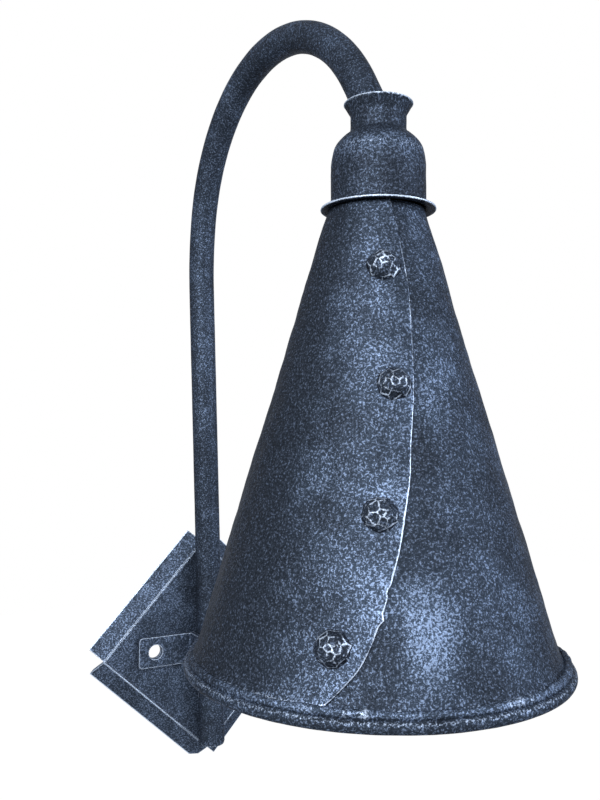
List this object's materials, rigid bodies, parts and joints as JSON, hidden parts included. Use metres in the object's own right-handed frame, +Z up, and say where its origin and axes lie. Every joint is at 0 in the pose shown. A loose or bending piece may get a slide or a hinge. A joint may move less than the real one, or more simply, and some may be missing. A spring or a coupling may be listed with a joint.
{
  "type": "torch wall sconce",
  "caption": "Wrought-iron gooseneck wall sconce: diamond wall plate, bent tube arm and a riveted, lapped cone shade opening downwards over a screw-in bulb.",
  "frame": {"origin": "midway between the two screw holes, on the back of the wall plate's flat field; the wall is 5 mm behind it", "axes": "+Y into the wall, +Z up, +X to the right when facing the wall"},
  "size_m": [0.1668, 0.296, 0.4308],
  "materials": {
    "iron": "satin",
    "steel": "satin",
    "brass": "satin",
    "porcelain": "gloss",
    "grommet_rubber": "matte",
    "cap_aluminium": "satin",
    "black_insulation": "gloss",
    "clear_glass": "gloss",
    "tungsten": "satin"
  },
  "bodies": {
    "fixture": {"wall_plate": "iron", "fixing_strap": "iron", "arm_tube": "iron", "cable_grommet": "grommet_rubber", "earth_stud": "steel", "earth_washer": "steel", "earth_nut": "brass", "tube_bush": "steel", "cup_bridge": "steel", "shade_cup": "iron", "entry_nipple": "steel", "nipple_locknut": "steel", "shade_cone": "iron", "lap_rivets": "iron", "rim_ring": "iron", "holder_cap": "brass", "holder_skirt": "brass", "holder_insulator": "porcelain", "contact_spring": "steel", "terminal_line": "brass", "terminal_neutral": "brass", "terminal_screws": "steel", "shell_rivets": "brass", "screw_shell": "brass"},
    "contact": {"centre_contact": "brass"},
    "bulb_travel": {"bulb_contact": "steel"},
    "bulb": {"bulb_cap": "cap_aluminium", "bulb_insulator": "black_insulation", "bulb_glass": "clear_glass", "bulb_stem": "clear_glass", "bulb_filament": "tungsten"}
  },
  "joints": [
    {"name": "bulb_slide", "type": "slide", "parent": "fixture", "child": "bulb_travel", "axis": [-0.0349, 0, -0.9994], "range_m": [0, 0.02177]},
    {"name": "bulb_turn", "type": "hinge", "parent": "bulb_travel", "child": "bulb", "pos_m": [-0.00241, -0.2075, 0.21902], "axis": [-0.0349, 0, -0.9994], "range_deg": [0, 2160]},
    {"name": "contact_slide", "type": "slide", "parent": "fixture", "child": "contact", "axis": [-0.0349, 0, -0.9994], "range_m": [0, 0.002], "deforming": ["contact_spring"]}
  ],
  "couplings": [
    {"joint": "bulb_slide", "follows": "bulb_turn", "m_per_rad": 0.00057757},
    {"joint": "contact_slide", "follows": "bulb_turn", "m_per_rad": 0.000053051}
  ]
}
